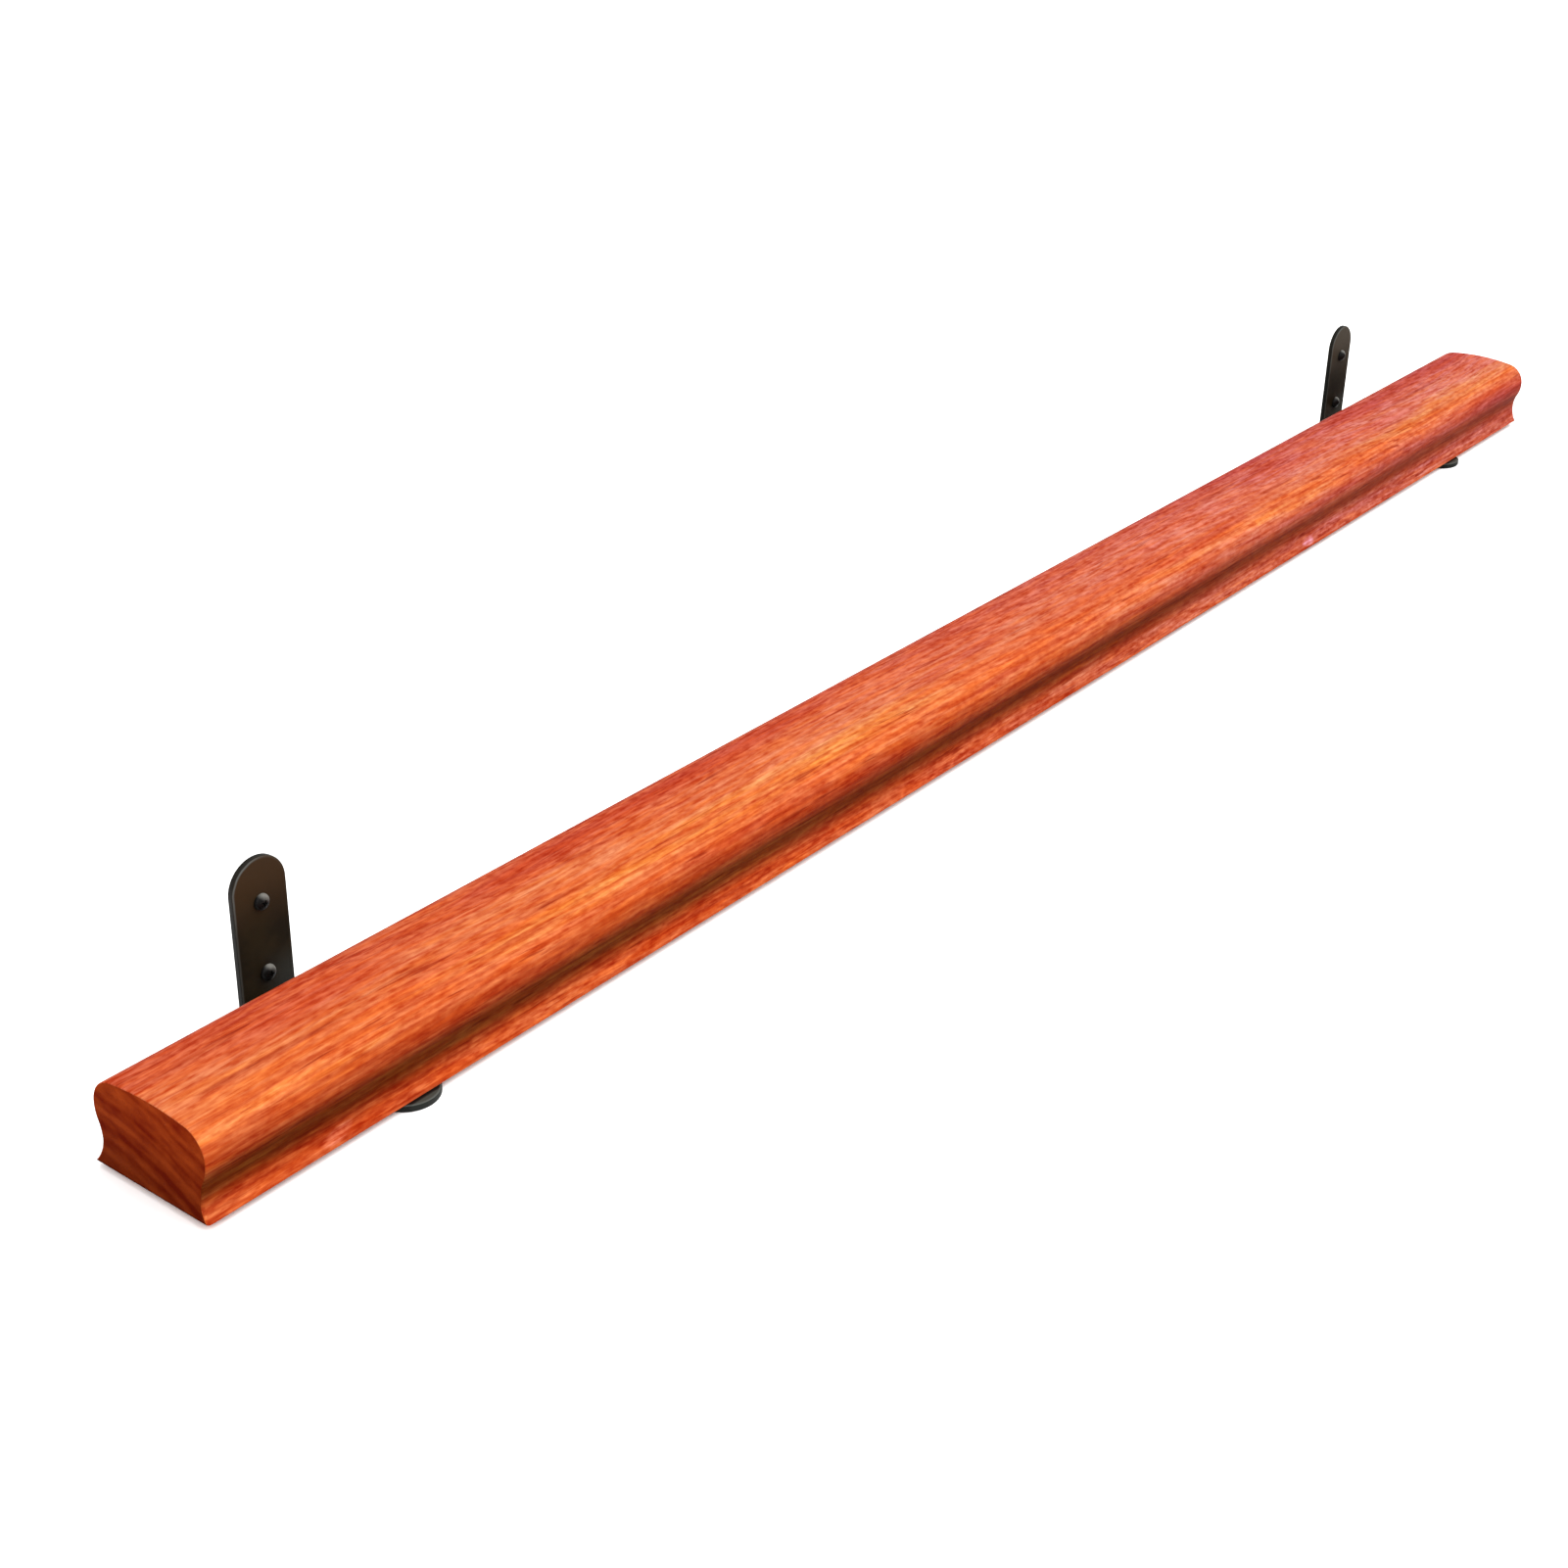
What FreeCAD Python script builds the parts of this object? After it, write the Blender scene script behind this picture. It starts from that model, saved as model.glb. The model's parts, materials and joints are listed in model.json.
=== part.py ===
import FreeCAD, Part
import math
import os

from FreeCAD import Vector

# A length of wooden stair handrail on two bent flat-bar wall brackets.
# Millimetres. X runs along the rail, +Y points at the wall and +Z is up.
# The origin is the middle of the footprint, on the plane that the brackets stand on.

# Rail: a moulded section with a flat base, a hollow waist and a domed crown
rail_length = 1200.0
rail_height = 42.0
base_width = 63.5
waist_depth = 3.0         # waist inside the edge of the base, each side
waist_height = 11.5       # narrowest place above the base
crown_overhang = 0.75     # widest place of the crown outside the edge of the base, each side
shoulder_radius = 13.0
dome_rise = 1.5           # top of the dome above the tops of the two shoulder arcs
arris_radius = 1.0        # eased long edges of the base
end_easing = 0.5          # edges taken off round the two sawn ends

# Brackets: flat bar with round ends, bent to an L
bar_width = 28.6
bar_thickness = 3.2
bend_radius = 4.0         # inside of the bend
bracket_reach = 98.4      # wall face to the tip of the foot
bracket_rise = 79.8       # underside of the foot to the top of the wall leg
bar_easing = 0.5          # edges taken off all round the bar
bracket_inset = 110.0     # middle of a bracket from the end of the rail
toe_overhang = 4.3        # tip of the foot in front of the base of the rail

# Wall holes, one above the other in the wall leg
wall_hole_diameter = 5.5
wall_hole_spacing = 34.0
wall_hole_from_top = 20.6

# Rail screws: countersunk wood screws, up through the foot into the base of the rail
rail_screw_spacing = 32.0
screw_diameter = 4.0
screw_length = 25.0
screw_tip_length = 5.0
screw_head_diameter = 7.6
head_recess = 0.2         # head below the face of the foot
head_rim = 0.3            # straight edge of the head
screw_clearance = 0.1     # round the shank in the foot and in the rail
drive_span = 4.2          # across the arms of the cross recess
drive_slot = 0.9
drive_depth = 1.4

# Places that follow from the sizes above
wall_face = bracket_reach / 2
toe_tip = wall_face - bracket_reach
rail_middle = toe_tip + toe_overhang + base_width / 2
rail_base = bar_thickness


def arc(centre, radius, start_angle, end_angle):
    """Arc in the plane of the section, from its centre as (y, z) and two angles."""
    def point(angle):
        return Vector(0, centre[0] + radius * math.cos(angle), centre[1] + radius * math.sin(angle))
    middle_angle = (start_angle + end_angle) / 2
    return Part.Arc(point(start_angle), point(middle_angle), point(end_angle)).toShape()


def sharp_edges(shape):
    """Edges where two faces meet at an angle, without the seams where they run on smoothly."""
    found = []
    for edge in shape.Edges:
        faces = shape.ancestorsOfType(edge, Part.Face)
        if len(faces) != 2:
            continue
        middle = edge.valueAt((edge.FirstParameter + edge.LastParameter) / 2)
        normals = [face.normalAt(*face.Surface.parameter(middle)) for face in faces]
        if normals[0].getAngle(normals[1]) > math.radians(20):
            found.append(edge)
    return found


def rail_section():
    """Each half is five arcs, tangent to one another, from the edge of the base to the top of the dome."""
    base_half = base_width / 2
    waist_half = base_half - waist_depth
    crown_half = base_half + crown_overhang
    crown_height = rail_height - dome_rise - shoulder_radius

    lower_cove = (waist_height ** 2 + waist_depth ** 2) / (2 * waist_depth)
    swell = crown_half - waist_half
    climb = crown_height - waist_height
    ogee_radius = (swell ** 2 + climb ** 2) / (4 * swell)
    shoulder_middle = crown_half - shoulder_radius
    shoulder_drop = shoulder_radius + dome_rise
    dome_radius = (shoulder_middle ** 2 + shoulder_drop ** 2 - shoulder_radius ** 2) / (2 * dome_rise)

    foot_angle = math.atan2(waist_height, lower_cove - waist_depth)
    ogee_angle = math.asin(climb / 2 / ogee_radius)
    dome_angle = math.atan2(dome_radius - shoulder_drop, shoulder_middle)

    half = [
        arc((waist_half + lower_cove, waist_height), lower_cove, math.pi + foot_angle, math.pi),
        arc((waist_half + ogee_radius, waist_height), ogee_radius, math.pi, math.pi - ogee_angle),
        arc((crown_half - ogee_radius, crown_height), ogee_radius, -ogee_angle, 0),
        arc((shoulder_middle, crown_height), shoulder_radius, 0, dome_angle),
        arc((0, rail_height - dome_radius), dome_radius, dome_angle, math.pi / 2),
    ]
    other_half = [edge.mirror(Vector(0, 0, 0), Vector(0, 1, 0)) for edge in half]
    base = Part.LineSegment(Vector(0, -base_half, 0), Vector(0, base_half, 0)).toShape()
    outline = Part.Wire(Part.__sortEdges__([base] + half + other_half))
    return Part.Face(outline)


def make_rail(screw_places):
    section = rail_section()
    section.translate(Vector(-rail_length / 2, rail_middle, rail_base))
    rail = section.extrude(Vector(rail_length, 0, 0))

    def lies_along_base(edge):
        box = edge.BoundBox
        return box.ZMax < rail_base + arris_radius / 2 and box.XLength > rail_length / 2
    rail = rail.makeFillet(arris_radius, [edge for edge in sharp_edges(rail) if lies_along_base(edge)])
    rail = rail.makeChamfer(end_easing, sharp_edges(rail))

    for place in screw_places:
        rail = rail.cut(screw_seat(place))
    return rail


def leg_outline(x_middle, along, tip, through):
    """Bar seen square on: a strip that runs back from its half-round end, cut right through the bracket."""
    half = bar_width / 2
    run = bracket_reach + bracket_rise
    across = Vector(half, 0, 0)
    spring = Vector(x_middle, 0, 0) + along * (tip - half)
    start = spring - along * run
    outline = Part.Wire([
        Part.LineSegment(start - across, spring - across).toShape(),
        Part.Arc(spring - across, spring + along * half, spring + across).toShape(),
        Part.LineSegment(spring + across, start + across).toShape(),
        Part.LineSegment(start + across, start - across).toShape(),
    ])
    outline.translate(through * -run)
    return Part.Face(outline).extrude(through * (2 * run))


def make_bracket(x_middle, screw_places):
    inner = wall_face - bar_thickness
    outer_radius = bend_radius + bar_thickness
    bend = (wall_face - outer_radius, outer_radius)
    corner = -math.pi / 2

    def line(start, end):
        return Part.LineSegment(Vector(0, *start), Vector(0, *end)).toShape()
    side = Part.Wire([
        line((toe_tip, 0), (bend[0], 0)),
        arc(bend, outer_radius, corner, 0),
        line((wall_face, bend[1]), (wall_face, bracket_rise)),
        line((wall_face, bracket_rise), (inner, bracket_rise)),
        line((inner, bracket_rise), (inner, bend[1])),
        arc(bend, bend_radius, 0, corner),
        line((bend[0], bar_thickness), (toe_tip, bar_thickness)),
        line((toe_tip, bar_thickness), (toe_tip, 0)),
    ])
    side.translate(Vector(x_middle - bar_width / 2, 0, 0))
    bracket = Part.Face(side).extrude(Vector(bar_width, 0, 0))

    along_y = Vector(0, 1, 0)
    along_z = Vector(0, 0, 1)
    wall_leg = leg_outline(x_middle, along_z, bracket_rise, along_y)
    foot = leg_outline(x_middle, -along_y, -toe_tip, along_z)
    bracket = bracket.common(wall_leg).common(foot).removeSplitter()
    bracket = bracket.makeChamfer(bar_easing, sharp_edges(bracket))

    upper_hole = bracket_rise - wall_hole_from_top
    for height in (upper_hole, upper_hole - wall_hole_spacing):
        mouth = Vector(x_middle, inner, height)
        bracket = bracket.cut(Part.makeCylinder(wall_hole_diameter / 2, bar_thickness, mouth, along_y))
    for place in screw_places:
        bracket = bracket.cut(screw_seat(place))
    return bracket


def turned_screw(place, clearance):
    """Countersunk body with its head down, wider by the clearance all round."""
    shank = screw_diameter / 2 + clearance
    head = screw_head_diameter / 2 + clearance
    neck = head_rim + head - shank
    tip_start = screw_length - screw_tip_length
    tip = screw_length + clearance
    points = [(0, 0), (head, 0), (head, head_rim), (shank, neck), (shank, tip_start), (0, tip), (0, 0)]
    outline = Part.makePolygon([Vector(radius, 0, height) for radius, height in points])
    body = Part.Face(outline).revolve(Vector(0, 0, 0), Vector(0, 0, 1), 360)
    body.translate(place + Vector(0, 0, head_recess))
    return body


def make_screw(place):
    screw = turned_screw(place, 0)
    face = place + Vector(0, 0, head_recess)
    corner = Vector(-drive_span / 2, -drive_slot / 2, 0)
    for turn in (0, 90):
        slot = Part.makeBox(drive_span, drive_slot, drive_depth, face + corner)
        slot.rotate(face, Vector(0, 0, 1), turn)
        screw = screw.cut(slot)
    return screw


def screw_seat(place):
    """Room for a screw: its own shape with the clearance, open to the underside of the foot."""
    sink = Part.makeCylinder(screw_head_diameter / 2 + screw_clearance, head_recess + head_rim, place)
    return turned_screw(place, screw_clearance).fuse(sink)


def main():
    bracket_middle = rail_length / 2 - bracket_inset
    bracket_places = {"left": -bracket_middle, "right": bracket_middle}
    screw_rows = {"front": rail_middle - rail_screw_spacing / 2, "back": rail_middle + rail_screw_spacing / 2}

    nodes = {}
    all_places = []
    for side, x_middle in bracket_places.items():
        places = {row: Vector(x_middle, y, 0) for row, y in screw_rows.items()}
        all_places += places.values()
        nodes[f"bracket_{side}"] = make_bracket(x_middle, places.values())
        for row, place in places.items():
            nodes[f"rail_screw_{side}_{row}"] = make_screw(place)
    nodes["rail"] = make_rail(all_places)

    os.makedirs("parts", exist_ok=True)
    for name, shape in nodes.items():
        shape.exportStep(f"parts/{name}.step")
        box = shape.optimalBoundingBox(False, False)
        size = f"{box.XLength:.2f} x {box.YLength:.2f} x {box.ZLength:.2f} mm"
        state = "valid" if shape.isValid() else "not valid"
        print(f"{name}: {state}, {len(shape.Solids)} solid, {shape.Volume / 1000:.1f} cm3, {size}")


main()
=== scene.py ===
import json
import math

import bmesh
import bpy
from mathutils import Matrix, Vector


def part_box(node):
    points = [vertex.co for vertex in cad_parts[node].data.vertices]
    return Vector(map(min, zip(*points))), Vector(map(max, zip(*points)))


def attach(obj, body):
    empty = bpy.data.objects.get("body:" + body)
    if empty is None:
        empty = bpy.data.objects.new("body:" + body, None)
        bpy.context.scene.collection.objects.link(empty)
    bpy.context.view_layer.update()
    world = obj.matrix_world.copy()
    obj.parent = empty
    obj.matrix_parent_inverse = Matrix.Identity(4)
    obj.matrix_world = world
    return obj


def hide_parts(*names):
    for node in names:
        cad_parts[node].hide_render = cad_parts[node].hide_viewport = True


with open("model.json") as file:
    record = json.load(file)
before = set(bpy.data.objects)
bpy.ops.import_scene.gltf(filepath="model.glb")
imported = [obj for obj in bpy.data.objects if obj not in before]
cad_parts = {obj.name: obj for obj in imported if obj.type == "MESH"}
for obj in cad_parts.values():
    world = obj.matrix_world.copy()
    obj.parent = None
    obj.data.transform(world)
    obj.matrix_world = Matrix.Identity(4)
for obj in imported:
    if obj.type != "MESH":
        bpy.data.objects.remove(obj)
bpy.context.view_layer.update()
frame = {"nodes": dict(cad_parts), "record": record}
mm = 0.001
print("frame:", len(frame["nodes"]), "CAD nodes")


# small helpers for node trees and meshes

class NodeDesk:
    def __init__(self, name):
        self.material = bpy.data.materials.new(name)
        self.material.use_nodes = True
        self.tree = self.material.node_tree
        self.tree.nodes.clear()
        self.shader = self.add("ShaderNodeBsdfPrincipled")
        output = self.add("ShaderNodeOutputMaterial")
        self.tree.links.new(self.shader.outputs[0], output.inputs["Surface"])

    def add(self, kind, inputs=None, **settings):
        made = self.tree.nodes.new(kind)
        for key, value in settings.items():
            setattr(made, key, value)
        for key, value in (inputs or {}).items():
            self.feed(made.inputs[key], value)
        return made

    def feed(self, socket, value):
        if isinstance(value, bpy.types.NodeSocket):
            self.tree.links.new(value, socket)
        elif socket.type == "RGBA":
            socket.default_value = (*value, 1.0)
        else:
            socket.default_value = value

    def surface(self, **values):
        for key, value in values.items():
            self.feed(self.shader.inputs[key.replace("_", " ")], value)

    def place(self):
        return self.add("ShaderNodeTexCoord").outputs["Object"]

    def attribute(self, name):
        return self.add("ShaderNodeAttribute", attribute_name=name).outputs["Fac"]

    def parts(self, vector):
        return self.add("ShaderNodeSeparateXYZ", {"Vector": vector}).outputs

    def joined(self, x, y, z):
        return self.add("ShaderNodeCombineXYZ", {"X": x, "Y": y, "Z": z}).outputs[0]

    def math(self, operation, *values):
        made = self.add("ShaderNodeMath", operation=operation)
        for socket, value in zip(made.inputs, values):
            self.feed(socket, value)
        return made.outputs[0]

    def minus(self, a, b):
        return self.math("SUBTRACT", a, b)

    def times(self, first, *others):
        for other in others:
            first = self.math("MULTIPLY", first, other)
        return first

    def total(self, start, *shares):    # start, and each value times its share
        for value, share in shares:
            start = self.math("MULTIPLY_ADD", value, share, start)
        return start

    def squares(self, a, b):
        return self.math("ADD", self.times(a, a), self.times(b, b))

    def nudge(self, value, noise, swing):    # noise moves the value, up to half the swing either way
        return self.math("MULTIPLY_ADD", self.minus(noise, 0.5), swing, value)

    def spread(self, value, low, high, toLow=0.0, toHigh=1.0, smooth=True):
        kind = "SMOOTHSTEP" if smooth else "LINEAR"
        made = self.add("ShaderNodeMapRange", interpolation_type=kind)
        for index, item in enumerate((value, low, high, toLow, toHigh)):
            self.feed(made.inputs[index], item)
        return made.outputs[0]

    def mix(self, share, a, b, blend="MIX"):
        made = self.add("ShaderNodeMix", data_type="RGBA", blend_type=blend)
        for index, value in ((0, share), (6, a), (7, b)):
            self.feed(made.inputs[index], value)
        return made.outputs[2]

    def tint(self, share, base, tone):
        return self.mix(share, base, tone, blend="MULTIPLY")

    def ramp(self, value, stops):
        made = self.add("ShaderNodeValToRGB", {"Fac": value})
        elements = made.color_ramp.elements
        while len(elements) < len(stops):
            elements.new(0.5)
        for element, (place, colour) in zip(elements, stops):
            element.position = place
            element.color = (*colour, 1.0)
        return made.outputs["Color"]

    def noise(self, vector, scale, detail, rough):
        made = self.add("ShaderNodeTexNoise", {"Vector": vector, "Scale": scale, "Detail": detail,
                                               "Roughness": rough})
        return made.outputs[0]

    def grain(self, vector, stretch, shift, detail, rough):
        made = self.add("ShaderNodeMapping", {"Vector": vector, "Scale": stretch, "Location": shift})
        return self.noise(made.outputs[0], 1.0, detail, rough)

    def bump(self, height, depth, strength):
        made = self.add("ShaderNodeBump", {"Height": height, "Distance": depth, "Strength": strength})
        return made.outputs[0]


def makePiece(name, mesh, slotName, *materials):
    piece = bpy.data.objects.new(name, mesh)
    bpy.context.scene.collection.objects.link(piece)
    for material in materials:
        mesh.materials.append(material)
    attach(piece, "root")
    return piece


def meshFrom(bm, name):
    bmesh.ops.recalc_face_normals(bm, faces=bm.faces)
    mesh = bpy.data.meshes.new(name)
    bm.to_mesh(mesh)
    bm.free()
    return mesh


def smoothOver(mesh, angle):
    for polygon in mesh.polygons:
        polygon.use_smooth = True
    mesh.set_sharp_from_angle(angle=math.radians(angle))


def joinLoops(bm, first, second):
    for index in range(len(first)):
        after = (index + 1) % len(first)
        bm.faces.new((first[index], first[after], second[after], second[index]))


# handrail: the moulded section run along X, with softened sawn ends

# a grain field is its stretch along X, Y and Z, its shift, its detail and its roughness
# a range of four is where it starts and ends, and the values at those two
handrail = {
    "shape": {
        "baseWidth": 63.5 * mm,
        "waistDepth": 3.0 * mm,
        "waistHeight": 11.5 * mm,
        "crownOverhang": 0.75 * mm,
        "shoulderRadius": 13.0 * mm,
        "domeRise": 1.5 * mm,
        "arrisRadius": 1.0 * mm,
        "coveShare": 0.88,          # of the cove, above the eased edge of the base
        "endEasing": 0.4 * mm,
        "rightEasing": 1.5 * mm,
        "easingSteps": 6,
        "endRun": 8.0 * mm,         # the straight run starts this far in from each end
        "leftLean": 0.039,          # left end sawn out of square, the top leans in
        "lipEasing": 1.5 * mm,      # front lip rubbed round at the left end
        "lipTop": 11.0 * mm,
        "backFlare": 2.4 * mm,      # back edge of the base stands a little further out
        "backFlareTop": 12.0 * mm,
        "backFlareCurve": 1.5,
        "arcStep": 3.0,             # degrees along the section's arcs
        "arcSteps": 4,              # and at least so many steps
        "pointGap": 0.05 * mm,      # nearer points are left out
        "lengthSteps": 96,
        "sharpFrom": 40,            # degrees between two faces
    },
    "wood": {
        "red": (0.300, 0.0322, 0.0121),
        "middle": (0.388, 0.0726, 0.0224),
        "orange": (0.435, 0.122, 0.0368),
        "warmSideAndFrontLight": (30.0 * mm, -12.0 * mm, -0.30, 0.18),    # redder at the back edge than at the front, partly the wood's tone and partly painted light on the front and shade at the back
        "warmShares": {"back": 0.22, "patches": 0.50, "bands": 0.25, "streaks": 0.55},
        "warmRange": (0.225, 1.025),
        "fibreDark": (0.72, 0.42, 0.33),
        "fibreLight": (1.17, 1.50, 1.76),
        "fibreShares": {"fibre": 0.62, "mottle": 0.38},
        "fibreCalm": (0.30, 0.95, 1.40, 0.88),               # more contrast in red wood than in orange
        "fibreRange": (0.36, 0.64),
        "hueTones": ((1.0, 0.86, 0.64), (1.0, 1.13, 1.40)),
        "hueRange": (0.3, 0.7),
        "pore": (0.185, 0.0145, 0.0044),
        "poreShare": 0.70,
        "poreDashes": (0.58, 0.70),
        "poreGroups": (0.40, 0.62),

        # tones of the zones, the left and the right end where there are two
        "frontTones": ((1.0, 0.88, 0.73), (0.92, 0.74, 0.66)),
        "lineTones": ((0.80, 0.60, 0.50), (1.10, 1.26, 1.34)),    # thin lines on the front, dark and light
        "lineRange": (0.36, 0.64),
        "farPaintedSheen": (0.93, 1.06, 2.05),           # painted sheen, the top pinker towards the right end
        "shoulderBlush": (1.0, 1.10, 1.6),        # the underside of the front shoulder is pinker there as well
        "farSheenPatches": 0.3,
        "backTone": (1.0, 1.18, 0.70),            # the back side is browner
        # painted shade: the sides below the shoulders darker than the top
        "sideShadeTones": ((0.76, 0.56, 0.48), (0.77, 0.64, 0.95)),
        "lipTones": ((1.06, 0.90, 0.78), (1.05, 1.19, 1.88)),
        "lipFibre": 0.55,
        # painted shade in the hollow under the crown
        "hollowShadeTones": ((0.20, 0.24, 0.08), (0.21, 0.13, 0.01)),
        "hollowShadeFade": [(0.0, 0.94), (0.20, 0.87), (0.56, 0.87), (0.82, 0.61), (1.0, 0.56)],    # along the rail
        "hollowShadeRise": 0.0025,                      # its lower edge climbs towards the right

        # where along the rail a tone goes over to the next, in metres
        "farSheenTurn": (-0.27, 0.60),
        "shoulderTurn": (-0.20, 0.30),
        "sideShadeTurn": (-0.05, 0.45),
        "lipTurn": (-0.30, 0.15),
        "hollowShadeTurn": (-0.35, 0.10),

        # heights above the base where a zone starts and is full
        "aboveBase": (0.3 * mm, 2.0 * mm),
        "shoulderTop": (39.0 * mm, 35.0 * mm),
        "shoulderFoot": (20.0 * mm, 28.0 * mm),
        "sideShadeStarts": (39.0 * mm, 35.5 * mm),     # left and right end
        "sideShadeFull": (29.0 * mm, 27.5 * mm),
        "sideShadeFoot": (3.0 * mm, 9.0 * mm, 0.55, 1.0),
        "lipFrom": (14.0 * mm, 7.0 * mm),
        "hollowShadeTop": (31.0 * mm, 17.5 * mm),
        "hollowShadeFoot": (4.5 * mm, 16.0 * mm),

        # the same over the skin from the top line, negative on the front
        "behind": (32.0 * mm, 46.0 * mm),
        "front": (-8.0 * mm, -20.0 * mm),
        "ruling": (-18.0 * mm, -28.0 * mm, 0.15, 0.85),
        "farSheenFrom": (-34.0 * mm, -10.0 * mm),
        "shoulderFrom": (10.0 * mm, -10.0 * mm),

        "runOut": 0.02,                           # grain wanders towards the front along the rail
        "wander": 28.0 * mm,
        "wanderField": ((3.2, 4.0, 4.0), (0.0, 0.0, 0.0), 1.0, 0.5),
        "lineField": ((9.0, 560.0, 560.0), (1.1, 0.0, 0.5), 3.0, 0.6),
        "fields": {
            "patches": ((6.0, 42.0, 42.0), (0.31, 0.2, 0.0), 2.0, 0.55),
            "streaks": ((14.0, 250.0, 250.0), (1.7, 0.0, 0.0), 2.5, 0.6),
            "fibre": ((54.0, 460.0, 460.0), (0.0, 0.0, 0.0), 4.0, 0.62),
            "mottle": ((180.0, 480.0, 480.0), (0.9, 0.3, 0.0), 2.0, 0.5),
            "hue": ((36.0, 330.0, 330.0), (0.2, 0.7, 0.0), 2.0, 0.5),
            "dashes": ((34.0, 700.0, 700.0), (0.4, 0.1, 0.0), 2.0, 0.5),
            "groups": ((16.0, 110.0, 110.0), (2.3, 0.0, 0.0), 1.0, 0.5),
        },
        "bands": {
            "width": 6.0 * mm,                    # one growth band
            "detail": 2.5,
            "rough": 0.55,
            "scale": 1.6,
            "tilt": 20.0,                         # bands fall towards the front, in degrees
            "pithDepth": 140.0 * mm,              # centre of the rings below the rail
            "drift": 22.0 * mm,
            "driftField": ((2.6, 14.0, 14.0), (0.0, 0.0, 0.0), 2.0, 0.5),
        },
        "poreRough": 0.4,
        "roughness": (0.3, 1.0, 0.42, 0.58),
        "fibreHeight": 0.35,
        "bump": (0.08 * mm, 0.5),                 # depth and strength
        "sheen": 0.004,
    },
    "figure": {
        "repeat": (-600.0 * mm, 207.0 * mm),      # the same figure comes round again
        "warp": 70.0 * mm,                        # swings the patches along the rail
        "warpField": ((9.0, 50.0, 50.0), (0.6, 0.0, 0.4), 2.0, 0.5),
        "sway": 9.0 * mm,                         # and across it
        "swayField": ((12.0, 40.0, 40.0), (3.1, 0.2, 0.0), 2.0, 0.5),
        "edge": (1.25, 0.05),
        "broken": (0.30, 0.62, 0.45, 1.0),        # streaks break the patches up
        "tones": {
            "glow": (1.08, 1.34, 1.16),
            "pale": (1.08, 1.38, 1.70),
            "red": (0.86, 0.60, 0.66),
            "dark": (0.70, 0.46, 0.42),
            "flush": (0.94, 0.80, 0.78),
            "fleck": (1.40, 2.35, 4.60),
        },
        # tone, place along the rail, place over the skin, half length and half width, in mm
        "patches": [
            ("glow", -270, -20, 120, 11),
            ("glow", -165, -21, 60, 10),
            ("pale", 60, -31, 130, 5),
            ("pale", 120, -40, 150, 6.5),
            ("glow", -410, -24, 80, 8),
            ("glow", -550, -35, 75, 4.5),
            ("red", -275, -39, 75, 4.5),
            ("red", -230, -47, 100, 6),
            ("red", -80, -37, 40, 3),
            ("red", -375, 15, 45, 9),
            ("red", -260, 17, 110, 8),
            ("red", -520, 3, 55, 10),
            ("red", 150, -24, 95, 4),
            ("red", -80, -8, 65, 6),
            ("flush", 60, -12, 90, 12),
            ("fleck", -531, -68.5, 6, 4.5),
            ("dark", -545, -13, 32, 2.2),
            ("dark", -398, -16, 22, 1.6),
            ("dark", -330, 2, 60, 1.6),
            ("dark", -575, 10, 35, 1.8),
        ],
    },
    "endGrain": {
        "dark": (0.086, 0.0048, 0.0006),
        "middle": (0.126, 0.0128, 0.0014),
        "light": (0.172, 0.0222, 0.0028),
        "toneRange": (0.20, 0.80),
        "bands": {"width": 10.0 * mm, "detail": 1.0},
        "lumps": 1.05,
        "lumpFall": 0.29,                         # lumps fall to the front like the bands
        "lumpField": ((30.0, 85.0, 200.0), (0.0, 0.4, 0.7), 2.5, 0.55),
        "mottle": 0.22,
        "mottleField": (260.0, 2.0, 0.6),
        "fade": (3.0 * mm, 38.0 * mm, 0.68, 1.22),    # shade at the base and at the crown
        "pore": (0.055, 0.0040, 0.0008),
        "poreShare": 0.30,
        "poreRange": (0.58, 0.70),
        "poreField": ((300.0, 1500.0, 1500.0), (0.0, 0.0, 0.0), 2.0, 0.6),
        "sawField": ((1.0, 160.0, 900.0), (0.0, 0.0, 0.0), 2.0, 0.5),
        "sawHeight": 0.5,
        "bump": (0.08 * mm, 0.5),
        "roughness": (0.3, 0.7, 0.82, 0.68),
        "sheen": 0.008,
    },
}


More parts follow.
